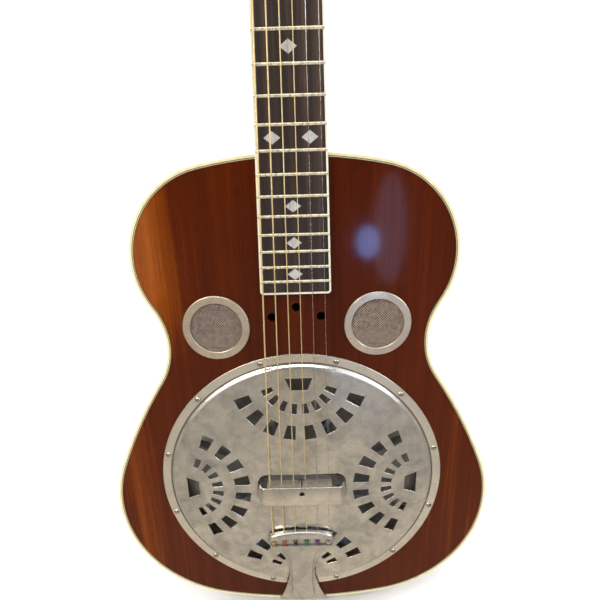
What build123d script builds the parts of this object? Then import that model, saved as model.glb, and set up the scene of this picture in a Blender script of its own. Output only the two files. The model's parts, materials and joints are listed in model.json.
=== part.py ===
from build123d import *
from math import atan, cos, degrees, pi, radians, sin, tan
import os

# Resonator guitar, millimetres. +Z runs up the neck, the front faces -Y and +X points to the treble
# side, which is on the right in a front view. The origin is on the centre line, at the nut's playing
# edge, in the plane of the soundboard's front face. Strings count from 0 on the bass side.

# Scale and strings
scale_length = 622.3
fret_count = 19
string_radii = [0.65, 0.53, 0.43, 0.32, 0.22, 0.165]      # bass to treble
nut_spread = 38.5
saddle_spread = 58.0
tail_spread = 56.5
nut_string_height = 7.9
saddle_string_height = 13.5
tail_string_height = 12.7
saddle_shift = -2.3
tail_shift = -2.5

# Body
body_depth = 83.0
plate_thickness = 3.0
rim_thickness = 2.2
binding_width = 2.2
binding_height = 6.0
purfling_line = 0.55
purfling_depth = 1.4
lining_width = 6.0
lining_height = 14.0
tail_z = -783.2
# Tangent arcs of the outline from the tail's middle up one side: radius and turn in degrees
outline_arcs = [(413.0, 12.0), (127.5, 100.0), (525.0, 11.6), (64.5, -65.5), (78.6, 110.0)]

# Fingerboard and neck
nut_width = 44.7
board_spread_at_scale = 22.7
board_thickness = 6.0
board_length = 425.8
board_binding = 1.6
fret_height = 1.0
fret_width = 2.3
tang_depth = 1.6
tang_width = 0.6
nut_length = 5.0
body_joint_z = -311.2
neck_depth_nut = 17.0
neck_depth_heel = 20.0
neck_top_z = 6.0
heel_end = 80.0
stick_half_width = 13.0
stick_front = 44.0
stick_back = 67.0
block_half_width = 38.0
neck_block_length = 52.0
tail_block_length = 20.0

# Resonator
plate_centre_z = -scale_length
cover_radius = 138.5
cover_sheet = 0.9
cover_screw_radius = 134.2
cover_screw_count = 12
flange_inner_radius = 129.5
dome_edge_height = 4.2
dome_height = 10.2
well_radius = 128.5
well_wall = 8.0
well_depth = 42.0
ledge_width = 7.5
ledge_front = 12.0
ledge_back = 16.0
cone_radius = 127.5
cone_sheet = 0.6
fan_offsets = [(0.0, 115.0), (-2.0, 115.0), (0.0, 117.5), (2.0, 115.0)]   # tail, right, neck, left
fan_angles = [-65.2, -46.6, -28.0, -9.3, 9.3, 28.0, 46.6, 65.2]
saddle_half_width = 32.0
saddle_gap = 0.6
screw_notch = 4.2
saddle_thickness = 3.2
opening_width = 86.0
opening_length = 31.5
opening_shift = -1.4
strap_width = 20.5
strap_shift = -5.2
strap_height = 19.0
strap_sheet = 1.5
strap_half_span = 44.2

# Screens and small holes in the soundboard
screen_x = 71.4
screen_z = -456.7
screen_outer = 29.7
screen_inner = 22.9
small_hole_radius = 4.0
small_holes = [(-21.6, -448.3), (0.0, -439.5), (21.6, -448.3)]

# Tailpiece
tail_bar_z = -679.8
tail_bar_half = 33.5
tail_bar_height = 15.2
tail_bar_back = 10.2
tail_sheet_height = 9.8
tail_bar_length = 13.0
tail_sheet = 1.6
ball_z = -690.0
shelf_z = -699.5
waist_z = -738.0
waist_half = 13.2
foot_half = 25.5
tongue_half = 10.8
tongue_lift = 1.5
tail_leg_depth = 52.0
end_pin_depth = 41.5

# Headstock and tuners, in the headstock's own plane: x across, u along, n out of the front
head_angle = 14.0
head_half_width = 36.0
head_length = 178.0
head_thickness = 16.0
veneer = 1.5
slot_half_width = 7.5
slot_centre = 16.5
slot_start = 36.0
slot_end = 148.0
post_positions = [56.0, 92.0, 128.0]
plate_screw_positions = [35.5, 72.0, 108.0, 142.0]
post_depth = -8.0
post_radius = 3.0
roller_radius = 4.6
running_gap = 0.06
tuner_sheet = 1.2
gear_teeth = 14
gear_module = 0.9
gear_thickness = 3.2
worm_pitch_radius = 2.75
worm_core_radius = 1.9
worm_shaft_radius = 2.0
worm_turns = 2.6
mesh_gap = 0.22
gear_x = 41.2
button_reach = 40.0

head_plane = Plane(
    origin=(0, 0, nut_length),
    x_dir=(1, 0, 0),
    z_dir=(0, -cos(radians(head_angle)), sin(radians(head_angle))),
)
worm_offset = gear_module * gear_teeth / 2 + worm_pitch_radius


# Helpers

def slab(profile, front, back):
    """A front-view profile made solid between two depths along Y."""
    return extrude(Plane.XZ.offset(-back) * profile, back - front, dir=(0, -1, 0))


def rod(radius, start, end):
    """A round bar between two points."""
    run = Vector(*end) - Vector(*start)
    return extrude(Plane(origin=start, z_dir=run) * Circle(radius), run.length, dir=run)


def polygon(points):
    """A straight-edged front-view profile."""
    return make_face(Polyline(*points, close=True))


def box(x_range, y_range, z_range):
    """An upright block given by its limits."""
    size = [high - low for low, high in (x_range, y_range, z_range)]
    middle = [(high + low) / 2 for low, high in (x_range, y_range, z_range)]
    return Pos(*middle) * Box(*size)


def head_slab(profile, low, high):
    """A profile in the headstock's plane made solid between two heights."""
    normal = head_plane.z_dir
    return extrude(head_plane.offset(low) * profile, high - low, dir=normal)


def head_point(x, u, n):
    """A point given in the headstock's plane."""
    return tuple(head_plane.from_local_coords((x, u, n)))


def repeated(spots, profile):
    """One profile drawn at several places."""
    return Sketch() + [Pos(*spot) * profile for spot in spots]


def spun(shape, count, turn=0.0):
    """Copies of a shape around the coverplate's axis."""
    axis = Axis((0, 0, plate_centre_z), (0, -1, 0))
    return [shape.rotate(axis, turn + 360 * n / count) for n in range(count)]


def fused(shapes):
    """One shape from many."""
    first, *rest = shapes
    return first.fuse(*rest) if rest else first


# Body

def body_outline(inset=0.0):
    """The body's front-view outline, drawn in from its edge by inset."""
    point = (0.0, tail_z + inset)
    heading = 0.0
    side = Curve()
    for radius, turn in outline_arcs:
        away = radius - inset if turn > 0 else radius + inset
        arc = JernArc(point, (cos(radians(heading)), sin(radians(heading))), away, turn)
        side += arc
        point = arc @ 1
        heading += turn
    last_turn = 180 - heading
    last_radius = point.X / sin(radians(last_turn))
    tangent = (cos(radians(heading)), sin(radians(heading)))
    side += JernArc(point, tangent, last_radius, last_turn)
    return make_face(side + mirror(side, Plane.YZ))


def outline_ring(outer_inset, inner_inset):
    """A band that follows the body's outline."""
    return body_outline(outer_inset) - body_outline(inner_inset)


def block_profile(low, high):
    """The part of the inside of the body between two heights, as wide as the end blocks."""
    middle = (low + high) / 2
    return body_outline(rim_thickness) & Pos(0, middle) * Rectangle(2 * block_half_width, high - low)


def neck_block_profile():
    return block_profile(body_joint_z - neck_block_length, body_joint_z + 10)


def tail_block_profile():
    return block_profile(tail_z - 10, tail_z + tail_block_length)


def soundboard():
    holes = Pos(0, plate_centre_z) * Circle(well_radius)
    holes += repeated([(-screen_x, screen_z), (screen_x, screen_z)], Circle(screen_inner + 1.6))
    holes += repeated(small_holes, Circle(small_hole_radius))
    board = slab(body_outline(binding_width) - holes, 0, plate_thickness)
    lines = 3 * purfling_line
    channel = outline_ring(binding_width, binding_width + lines)
    screws = fused([rod(1.2, start, end) for start, end in cover_screw_lines()])
    return board - slab(channel, 0, purfling_depth) - screws


def back_plate():
    return slab(body_outline(binding_width), body_depth - plate_thickness, body_depth)


def stick_hole(z_low, z_high):
    x_range = (-stick_half_width, stick_half_width)
    return box(x_range, (stick_front, stick_back), (z_low, z_high))


def side_rim():
    rim = slab(outline_ring(0, rim_thickness), binding_height, body_depth - binding_height)
    return rim - stick_hole(body_joint_z - 20, body_joint_z + 10) - tail_holes()


def tail_holes():
    """The holes for the strap button and the tailpiece's screws."""
    pin = rod(4.0, (0, end_pin_depth, tail_z + 25), (0, end_pin_depth, tail_z - 10))
    return pin + fused([rod(1.6, start, end) for start, end in tail_screw_lines()])


def top_binding():
    return slab(outline_ring(0, binding_width), 0, binding_height)


def back_binding():
    return slab(outline_ring(0, binding_width), body_depth - binding_height, body_depth)


def purfling(first, last):
    """One line of the purfling, counted inwards from the binding."""
    band = outline_ring(binding_width + first * purfling_line, binding_width + last * purfling_line)
    return slab(band, 0, purfling_depth)


def linings():
    band = outline_ring(rim_thickness, rim_thickness + lining_width)
    band -= neck_block_profile()
    band -= tail_block_profile()
    back_face = body_depth - plate_thickness
    front = slab(band, plate_thickness, plate_thickness + lining_height)
    back = slab(band, back_face - lining_height, back_face)
    return Compound(front.solids() + back.solids())


def neck_block():
    block = slab(neck_block_profile(), plate_thickness, body_depth - plate_thickness)
    return block - stick_hole(body_joint_z - 80, body_joint_z + 10)


def tail_block():
    block = slab(tail_block_profile(), plate_thickness, body_depth - plate_thickness)
    return block - tail_holes()


def brace(z, front, back):
    """A bar across the inside of the body, as long as the linings leave room for."""
    inside = body_outline(rim_thickness + lining_width + 0.5)
    bar = slab(inside & Pos(0, z) * Rectangle(400, 9), front, back)
    return bar.solid()


def top_braces():
    return Compound([brace(z, plate_thickness, plate_thickness + 12) for z in (-384.0, -421.0)])


def back_braces():
    back_face = body_depth - plate_thickness
    heights = (-400.0, -500.0, -600.0, -700.0)
    return Compound([brace(z, back_face - 12, back_face) for z in heights])


def soundwell():
    centre = Pos(0, plate_centre_z)
    wall = slab(centre * (Circle(well_radius + well_wall) - Circle(well_radius)), plate_thickness, well_depth)
    ledge = slab(centre * (Circle(well_radius) - Circle(well_radius - ledge_width)), ledge_front, ledge_back)
    port = rod(9.0, (100, 29.5, plate_centre_z), (150, 29.5, plate_centre_z))
    screws = fused([rod(1.2, start, end) for start, end in cover_screw_lines()])
    return wall + ledge - fused(spun(port, 8, 22.5)) - screws


def end_pin():
    """Strap button: a plug in the tail block, a collar, a neck and a knob."""
    sections = [(4.0, 20.0, -9.0), (7.0, -tail_sheet, -3.6), (4.5, -3.6, -9.0), (7.2, -9.0, -13.0)]
    pin = fused([rod(radius, (0, end_pin_depth, tail_z + start), (0, end_pin_depth, tail_z + end))
                 for radius, start, end in sections])
    knob_edges = pin.edges().filter_by(GeomType.CIRCLE).sort_by(Axis.Z)[:1]
    return fillet(knob_edges, 1.5)


# Neck

def fret_z(number):
    return -scale_length * (1 - 2 ** (-number / 12))


def board_width(z):
    return nut_width + board_spread_at_scale * -z / scale_length


def board_profile(inset=0.0):
    """The fingerboard's outline with its two rounded end corners."""
    end = -board_length
    top = board_width(0) / 2 - inset
    bottom = board_width(end) / 2 - inset
    end += inset
    shape = polygon([(-top, 0), (top, 0), (bottom, end), (-bottom, end)])
    return fillet(shape.vertices().sort_by(Axis.Y)[:2], 3.0 - inset * 0.8)


def diamond_profiles():
    """The position markers, one between frets and two side by side at the twelfth."""
    spots = []
    for number in (5, 7, 9, 15, 17, 19):
        spots.append((0, (fret_z(number) + fret_z(number - 1)) / 2))
    octave = (fret_z(12) + fret_z(11)) / 2
    spots += [(-14.5, octave), (14.5, octave)]
    shape = polygon([(-6.4, 0), (0, 4.8), (6.4, 0), (0, -4.8)])
    return repeated(spots, shape)


def fret_tangs():
    """The fret slots' shapes, cut into the fingerboard and filled by the fret tangs."""
    tangs = []
    for number in range(1, fret_count + 1):
        z = fret_z(number)
        half = board_width(z) / 2 - board_binding
        depth = (-board_thickness, -board_thickness + tang_depth)
        tangs.append(box((-half, half), depth, (z - tang_width / 2, z + tang_width / 2)))
    return tangs


def frets():
    """Nickel fret wires: a domed crown across the whole board and a tang in its slot."""
    wires = []
    top = -board_thickness
    for number, tang in zip(range(1, fret_count + 1), fret_tangs()):
        z = fret_z(number)
        half = board_width(z) / 2 - 0.25
        base = Line((top, z + fret_width / 2), (top, z - fret_width / 2))
        crown = ThreePointArc(base @ 1, (top - fret_height, z), base @ 0)
        wire = extrude(Plane.YZ * make_face(base + crown), half, both=True, dir=(1, 0, 0))
        wires.append((wire + tang).solid())
    return Compound(wires)


def inlays():
    return slab(diamond_profiles(), -board_thickness, -board_thickness + 1.2)


def fingerboard():
    board = slab(board_profile(board_binding), -board_thickness, 0)
    return board - inlays() - fused(fret_tangs())


def fingerboard_binding():
    return slab(board_profile() - board_profile(board_binding), -board_thickness, 0)


def neck_section(z, width, depth):
    """Half an ellipse behind the neck's flat front."""
    half = Ellipse(width / 2, depth) & Pos(0, depth / 2) * Rectangle(width + 2, depth)
    return Plane.XY.offset(z) * half


def heel_section(y, half_width, length):
    """A half ellipse that points up the neck, at one depth of the heel."""
    base = body_joint_z - 6
    half = Ellipse(half_width, length) & Pos(0, length / 2) * Rectangle(3 * half_width, length)
    return Plane(origin=(0, y, base), x_dir=(1, 0, 0), z_dir=(0, -1, 0)) * half


def heel():
    sections = [(6, 28.0, 78.0), (20, 25.0, 52.0), (40, 18.0, 33.0), (62, 13.5, 24.0), (heel_end, 12.0, 20.0)]
    return loft([heel_section(y, half, length) for y, half, length in sections])


def head_profile():
    """The headstock's front: a flare up from the nut, parallel sides and a shallow crown."""
    half = head_half_width
    start = nut_width / 2
    right = Line((start, -5), (start, 0))
    right += Bezier((start, 0), (start, 12), (half, 14), (half, 28))
    right += Line((half, 28), (half, head_length - 8))
    right += ThreePointArc((half, head_length - 8), (half / 2, head_length - 3.4), (0, head_length))
    left = mirror(right, Plane.YZ)
    return make_face(right + left + Line((-start, -5), (start, -5)))


def head_slots():
    middle = (slot_start + slot_end) / 2
    length = slot_end - slot_start
    capsule = Rot(0, 0, 90) * SlotOverall(length, 2 * slot_half_width)
    return repeated([(-slot_centre, middle), (slot_centre, middle)], capsule)


def tuner_bores():
    """Running holes for the string posts, through the outer rail and into the centre rail."""
    bores = []
    for side in (-1, 1):
        for u in post_positions:
            start = head_point(side * 1.0, u, post_depth)
            end = head_point(side * (head_half_width + 1), u, post_depth)
            bores.append(rod(post_radius + running_gap, start, end))
    return fused(bores)


def neck():
    shaft = loft([
        neck_section(body_joint_z - 3, board_width(body_joint_z), neck_depth_heel),
        neck_section(neck_top_z, nut_width, neck_depth_nut),
    ])
    head = head_slab(head_profile() - head_slots(), -head_thickness, -veneer)
    in_front = head_slab(Pos(0, 100) * Rectangle(200, 200), -veneer, 40)
    body = slab(body_outline(), -20, body_depth + 20)
    whole = shaft + heel() + head - in_front - body - tuner_bores()
    return whole - fused([rod(1.2, start, end) for start, end in tuner_screw_lines()])


def headstock_veneer():
    face = head_profile() & Pos(0, 100) * Rectangle(200, 200)
    return head_slab(face - head_slots(), -veneer, 0)


def heel_cap():
    cap = extrude(heel_section(heel_end, 12.0, 20.0), body_depth - heel_end, dir=(0, 1, 0))
    return cap - slab(body_outline(), -20, body_depth + 20)


def neck_stick():
    stick = stick_hole(tail_z + tail_block_length, body_joint_z + 10)
    return stick & slab(body_outline(), 0, body_depth)


def nut():
    half = nut_width / 2
    blank = box((-half, half), (-nut_string_height - 0.6, 0), (0, nut_length))
    top_edge = blank.edges().filter_by(Axis.X).sort_by(Axis.Y)[:2]
    return fillet(top_edge, 0.8) - fused([rod(r + 0.03, a, b) for r, a, b in nut_runs()])


# Strings

def string_x(number, spread, shift=0.0):
    """The place across the neck of a string, counted from the bass side."""
    return spread * (number / 5 - 0.5) + shift


def string_points(number):
    """The string's path: tail, over the tail bar, saddle, nut and its tuner post."""
    radius = string_radii[number]
    bass = number < 3
    row = number if bass else 5 - number
    side = -1 if bass else 1
    tail_x = string_x(number, tail_spread, tail_shift)
    x_post = side * (slot_centre + 2.5 - 3.0 * row)
    u_post = post_positions[row]
    n_post = post_depth + roller_radius + radius + 0.25
    return [
        (tail_x, -tail_string_height, ball_z + 2.0),
        (string_x(number, saddle_spread, saddle_shift), -saddle_string_height, plate_centre_z),
        (string_x(number, nut_spread), -nut_string_height, 0.0),
        (string_x(number, nut_spread), -nut_string_height, nut_length),
        head_point(x_post, u_post, n_post),
    ]


def nut_runs():
    """The strings' short runs over the nut."""
    runs = []
    for number, radius in enumerate(string_radii):
        x = string_x(number, nut_spread)
        start = (x, -nut_string_height, -1)
        runs.append((radius, start, (x, -nut_string_height, nut_length + 1)))
    return runs


def strings(numbers):
    wires = []
    for number in numbers:
        points = string_points(number)
        path = FilletPolyline(*points, radius=2.0)
        start = Plane(origin=path @ 0, z_dir=path % 0)
        wires.append(sweep(start * Circle(string_radii[number]), path=path).solid())
    return Compound(wires)


def ball_ends():
    """Six barrels that hold the strings' ends below the tail bar."""
    barrels = []
    for number in range(6):
        x = string_x(number, tail_spread, tail_shift)
        barrel = rod(2.0, (x - 1.8, -tail_string_height, ball_z), (x + 1.8, -tail_string_height, ball_z))
        barrels.append(fillet(barrel.edges().filter_by(GeomType.CIRCLE), 0.5).solid())
    return Compound(barrels)


# Resonator

def cover_screw_lines():
    """Start and end of each coverplate screw's shank."""
    lines = []
    for n in range(cover_screw_count):
        angle = radians(15 + 360 * n / cover_screw_count)
        x = cover_screw_radius * sin(angle)
        z = plate_centre_z + cover_screw_radius * cos(angle)
        lines.append(((x, -1, z), (x, 12, z)))
    return lines


def cover_section():
    """Half the coverplate's section: screw flange, raised bead and low dome."""
    flange = Polyline((cover_radius, -1.0), (flange_inner_radius, -1.0))
    bead = Bezier(flange @ 1, (flange_inner_radius - 1.6, -1.2), (flange_inner_radius - 1.4, -4.2),
                  (flange_inner_radius - 4.0, -dome_edge_height))
    rise = dome_height - dome_edge_height
    dome = Spline(bead @ 1, (90, -dome_edge_height - 0.48 * rise), (50, -dome_edge_height - 0.8 * rise),
                  (0, -dome_height), tangents=[(-1, -0.05), (-1, 0)])
    front = flange + bead + dome
    back = Pos(0, cover_sheet) * front
    rim = Line((cover_radius, -1.0), (cover_radius, -1.0 + cover_sheet))
    axis = Line((0, -dome_height), (0, -dome_height + cover_sheet))
    return make_face(front + back + rim + axis)


def slot_shape(distance, length, near_width, far_width):
    """One flared slot of a fan, pointing along +Y."""
    low = distance - length / 2
    high = distance + length / 2
    near = near_width / 2
    far = far_width / 2
    return polygon([(-near, low), (near, low), (far, high), (-far, high)])


def fan_profile():
    """Two arcs of flared slots round a wedge-shaped hole near the plate's rim."""
    large = slot_shape(57.0, 15.0, 8.0, 11.5)
    small = slot_shape(32.0, 10.5, 4.6, 6.4)
    slots = [Rot(0, 0, angle) * shape for shape in (large, small) for angle in fan_angles]
    wedge = slot_shape(7.3, 12.0, 15.5, 25.0)
    slots.append(Rot(0, 0, 180) * Pos(0, -14.6) * wedge)
    return Sketch() + slots


def coverplate():
    axis = Axis((0, 0, plate_centre_z), (0, -1, 0))
    section = Plane(origin=(0, 0, plate_centre_z), x_dir=(1, 0, 0), z_dir=(0, 0, 1)) * cover_section()
    plate = revolve(section, axis=axis)
    centre = Pos(0, plate_centre_z)
    cuts = Sketch()
    for quarter, (aside, distance) in enumerate(fan_offsets):
        cuts += centre * Rot(0, 0, 90 * quarter) * Pos(aside, -distance) * fan_profile()
    cuts += centre * Pos(0, opening_shift) * RectangleRounded(opening_width, opening_length, 9.0)
    cuts += [Pos(start[0], start[2]) * Circle(1.35) for start, end in cover_screw_lines()]
    return plate - slab(cuts, -30, 10)


def coverplate_screws():
    """Slotted dome-headed screws."""
    screws = []
    for number, (start, end) in enumerate(cover_screw_lines()):
        x, y, z = start
        head = rod(2.6, (x, y, z), (x, y - 1.5, z))
        head = fillet(head.edges().filter_by(GeomType.CIRCLE).sort_by(Axis.Y)[:1], 1.3)
        slot = Pos(x, y - 1.5, z) * Rot(0, 37 * number, 0) * Box(6, 1.0, 0.6)
        screws.append((head + rod(1.2, (x, y, z), end) - slot).solid())
    return Compound(screws)


def handrest():
    """The bridge cover: a crowned strap over the opening, with its ends turned down."""
    half = strap_half_span
    z = plate_centre_z + strap_shift
    top = -strap_height
    foot = -7.2
    path = FilletPolyline((-half, foot, z), (-half + 3.5, top, z), (half - 3.5, top, z), (half, foot, z),
                          radius=7.0)
    edge = strap_width / 2
    drop = 1.6
    outer = ThreePointArc((-edge, -drop), (0, 0), (edge, -drop))
    inner = ThreePointArc((-edge, -drop - strap_sheet), (0, -strap_sheet), (edge, -drop - strap_sheet))
    ends = Line(outer @ 0, inner @ 0) + Line(outer @ 1, inner @ 1)
    start = Plane(origin=path @ 0, x_dir=(0, 0, 1), z_dir=path % 0)
    strap = sweep(start * make_face(outer + inner + ends), path=path)
    hole_z = plate_centre_z - 1.2
    hole = rod(2.5, (0, 0, hole_z), (0, -30, hole_z))
    plate = slab(Pos(0, plate_centre_z) * Circle(100), -dome_height - 0.02, 20)
    return strap - hole - plate


def resonator_cone():
    """A thin spun dish: a rim on the ledge, a deep ring and a raised middle."""
    centre = Plane(origin=(0, 0, plate_centre_z), x_dir=(1, 0, 0), z_dir=(0, 0, 1))
    rim = ledge_front - cone_sheet
    flat = Line((cone_radius, rim), (118.0, rim))
    side = Spline(flat @ 1, (92.0, 24.0), (62.0, 33.0), (34.0, 28.0), (12.0, 21.0),
                  tangents=[(-1, 0.3), (-1, -0.3)])
    peak = Line(side @ 1, (0, 21.0))
    front = flat + side + peak
    ends = Line((cone_radius, rim), (cone_radius, ledge_front)) + Line((0, 21.0), (0, 21.0 + cone_sheet))
    back = Pos(0, cone_sheet) * front
    return revolve(centre * make_face(front + back + ends), axis=Axis((0, 0, plate_centre_z), (0, -1, 0)))


def spider_bridge():
    """A cast star: a bar that holds the saddles, and eight legs down to the cone's rim."""
    foot = ledge_front - cone_sheet
    side = polygon([(0, -1.5), (0, 6), (116, 9), (118, foot), (125, foot), (125, 7), (60, 0.5), (20, -1.5)])
    leg = Plane(origin=(0, 0, plate_centre_z), x_dir=(1, 0, 0), z_dir=(0, 0, 1)) * side
    leg = extrude(leg, 2.4, both=True, dir=(0, 0, 1))
    star = fused(spun(leg, 8, 22.5))
    bar = box((-37, 37), (-2, 7), (plate_centre_z - 7, plate_centre_z + 7))
    bar = fillet(bar.edges().filter_by(Axis.Y), 5.0)
    slot = box((saddle_shift - saddle_half_width, saddle_shift + saddle_half_width), (-5, 4),
               (plate_centre_z - saddle_thickness / 2, plate_centre_z + saddle_thickness / 2))
    return star + bar - slot - tension_screw()


def saddles():
    """Two maple halves, bass and treble, cut away below for the tension screw's head."""
    half = saddle_thickness / 2
    top = -saddle_string_height + 0.3
    cuts = [box((-screw_notch, screw_notch), (-3.3, 5), (plate_centre_z - 5, plate_centre_z + 5))]
    for number, radius in enumerate(string_radii):
        x = string_x(number, saddle_spread, saddle_shift)
        cuts.append(rod(radius + 0.05, (x, -saddle_string_height, plate_centre_z - 4),
                        (x, -saddle_string_height, plate_centre_z + 4)))
    blades = []
    outer = (saddle_shift - saddle_half_width, saddle_shift + saddle_half_width)
    for low, high in ((outer[0], -saddle_gap), (saddle_gap, outer[1])):
        blade = box((low, high), (top, 4), (plate_centre_z - half, plate_centre_z + half))
        crest = blade.edges().filter_by(Axis.X).sort_by(Axis.Y)[:2]
        blades.append((chamfer(crest, 0.9) - fused(cuts)).solid())
    return Compound(blades)


def tension_screw():
    head = rod(3.4, (0, -1.5, plate_centre_z), (0, -3.0, plate_centre_z))
    head -= Pos(0, -3.0, plate_centre_z) * Box(8, 1.4, 0.8)
    return head + rod(1.8, (0, -1.5, plate_centre_z), (0, 21.0, plate_centre_z))


# Screens

def screen_rings():
    """Flat nickel rings with a rounded edge and a sleeve in the soundboard's hole."""
    rings = []
    for side in (-1, 1):
        place = Pos(side * screen_x, screen_z)
        flat = slab(place * (Circle(screen_outer) - Circle(screen_inner)), -1.6, 0)
        edges = flat.edges().filter_by(GeomType.CIRCLE).sort_by(Axis.Y)[:2]
        flat = fillet(edges, 0.7)
        sleeve = slab(place * (Circle(screen_inner + 1.5) - Circle(screen_inner + 0.7)), 0, 7)
        rings.append((flat + sleeve).solid())
    return Compound(rings)


def screen_meshes():
    meshes = []
    for side in (-1, 1):
        disc = Pos(side * screen_x, screen_z) * Circle(screen_inner + 0.7)
        meshes.append(slab(disc, 0, 0.8).solid())
    return Compound(meshes)


# Tailpiece

def tail_outline():
    """Front view of the tailpiece below its bar: shelf, waist and flared foot."""
    side = Line((tail_bar_half - 1, tail_bar_z), (tail_bar_half - 1, ball_z - 5))
    side += Bezier(side @ 1, (31, shelf_z - 1), (27, shelf_z), (25.4, shelf_z - 1))
    side += Spline(side @ 1, (14.6, waist_z + 17), (waist_half, waist_z), (16.8, waist_z - 18),
                   (foot_half, tail_z + 2), tangents=[(-1, -1), (0.55, -1)])
    side += Line(side @ 1, (foot_half, tail_z - 10))
    top = Line((1 - tail_bar_half, tail_bar_z), (tail_bar_half - 1, tail_bar_z))
    foot = Line((-foot_half, tail_z - 10), (foot_half, tail_z - 10))
    return Pos(tail_shift, 0) * make_face(side + mirror(side, Plane.YZ) + top + foot)


def tail_tongue():
    """The raised middle of the tailpiece, ending in an arc at the body's edge."""
    side = Spline((18, shelf_z), (tongue_half + 0.4, waist_z + 16), (tongue_half, waist_z - 10),
                  (tongue_half + 1.6, tail_z + 10), tangents=[(-1, -1.4), (0.2, -1)])
    end = ThreePointArc(side @ 1, (0, tail_z + 0.6), (-tongue_half - 1.6, tail_z + 10))
    top = Line((-18, shelf_z), (18, shelf_z))
    return Pos(tail_shift, 0) * make_face(side + mirror(side, Plane.YZ) + end + top)


def tail_bar():
    """The crowned hood across the top, arched in front view, that hides the strings' ends."""
    low = tail_bar_z - tail_bar_length / 2
    high = tail_bar_z + tail_bar_length / 2
    half = tail_bar_half
    crown = Bezier((-half, low), (-half, high - 4), (-half + 6, high - 1.2), (0, high),
                   (half - 6, high - 1.2), (half, high - 4), (half, low))
    base = ThreePointArc(crown @ 0, (0, low + 2.2), crown @ 1)
    bar = slab(Pos(tail_shift, 0) * make_face(crown + base), -tail_bar_height, -tail_bar_back)
    front = bar.faces().sort_by(Axis.Y)[0]
    return fillet(front.edges(), 2.2)


def bent_sheet(thickness, lift):
    """A wide sheet from the tail bar, over the coverplate's rim and round the body's edge."""
    edge = tail_z - tail_sheet / 2
    front = tail_sheet / 2 + 0.05
    path = FilletPolyline(
        (0, -tail_sheet_height, tail_bar_z + 6), (0, -tail_sheet_height, ball_z - 10),
        (0, -7.0, waist_z + 3), (0, -5.9, tail_z + 31), (0, -2.6, tail_z + 21), (0, -front, tail_z + 11),
        (0, -front, edge), (0, tail_leg_depth, edge), radius=[6, 6, 6, 6, 6, 0.9],
    )
    start = Plane(origin=path @ 0, x_dir=(1, 0, 0), z_dir=path % 0)
    return sweep(start * Pos(0, lift) * Rectangle(90, thickness), path=path)


def tailpiece():
    """Stamped steel: hood, ball-end shelf, raised tongue, flared foot and a leg down the tail."""
    sheet = bent_sheet(tail_sheet, 0)
    upper = sheet & slab(tail_outline(), -30, 4)
    leg = sheet & box((tail_shift - 17, tail_shift + 17), (2, 60), (tail_z - 10, tail_z + 10))
    tongue = bent_sheet(1.3, tongue_lift) & slab(tail_tongue(), -30, -0.2)
    lip = tail_outline() & Pos(tail_shift, (ball_z + shelf_z) / 2 - 2.6) * Rectangle(64, 5)
    shelf = slab(lip, -tail_sheet_height - 2.4, -tail_sheet_height + 0.8)
    whole = upper + leg + tail_bar() + shelf + tongue
    holes = rod(4.3, (0, end_pin_depth, tail_z + 5), (0, end_pin_depth, tail_z - 12))
    holes += fused([rod(1.6, start, end) for start, end in tail_screw_lines()])
    grooves = fused([rod(r + 0.05, *string_points(n)[:2]) for n, r in enumerate(string_radii)])
    return (whole - holes - grooves).solid()


def tail_screw_lines():
    return [((x, 20.0, tail_z - tail_sheet), (x, 20.0, tail_z + 14)) for x in (-9.0, 9.0)]


def tailpiece_screws():
    screws = []
    for start, end in tail_screw_lines():
        x, y, z = start
        head = rod(3.2, (x, y, z), (x, y, z - 1.6))
        head = fillet(head.edges().filter_by(GeomType.CIRCLE).sort_by(Axis.Z)[:1], 1.3)
        screws.append((head + rod(1.6, start, end)).solid())
    return Compound(screws)


# Tuners

def tuner_plate_profile():
    """Side view of a tuner plate: along u, across n."""
    middle = (slot_start + slot_end) / 2 - 3
    return Pos(middle, post_depth) * RectangleRounded(114, 14, 4.0)


def side_plane(x):
    """A plane at the headstock's side: local x runs along u, local y along n."""
    return Plane(origin=head_point(x, 0, 0), x_dir=head_plane.y_dir, z_dir=(1, 0, 0))


def tuner_screw_lines():
    lines = []
    for side in (-1, 1):
        for u in plate_screw_positions:
            start = head_point(side * (head_half_width + tuner_sheet), u, post_depth)
            lines.append((start, head_point(side * (head_half_width - 8), u, post_depth)))
    return lines


def tuner_plate(side):
    """The plate of one side with two bearing ears for each worm."""
    inner = head_half_width
    sheet = extrude(side_plane(inner) * tuner_plate_profile(), tuner_sheet, dir=(1, 0, 0))
    outer_x = gear_x + worm_shaft_radius + 1.6
    cuts = []
    for u in post_positions:
        worm_u = u - worm_offset
        for low, high in ((-3.0, -1.2), (-14.8, -13.0)):
            width = outer_x - inner
            ear = Pos(inner + width / 2, worm_u) * RectangleRounded(width, 7.2, 1.2)
            sheet += head_slab(ear, low, high)
        start = head_point(gear_x, worm_u, 2)
        cuts.append(rod(worm_shaft_radius + running_gap, start, head_point(gear_x, worm_u, -20)))
        start = head_point(inner - 1, u, post_depth)
        cuts.append(rod(post_radius + running_gap, start, head_point(inner + 5, u, post_depth)))
    for u in plate_screw_positions:
        start = head_point(inner - 1, u, post_depth)
        cuts.append(rod(1.35, start, head_point(inner + 5, u, post_depth)))
    plate = sheet - fused(cuts)
    return plate if side > 0 else mirror(plate, Plane.YZ)


def tuner_screws():
    screws = []
    for start, end in tuner_screw_lines():
        inward = (Vector(*end) - Vector(*start)).normalized()
        top = tuple(Vector(*start) - inward * 1.3)
        head = rod(2.3, start, top)
        head = fillet(head.edges().filter_by(GeomType.CIRCLE).sort_by(Axis.X)[-1 if start[0] > 0 else 0], 1.1)
        screws.append((head + rod(1.2, start, end)).solid())
    return Compound(screws)


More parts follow.
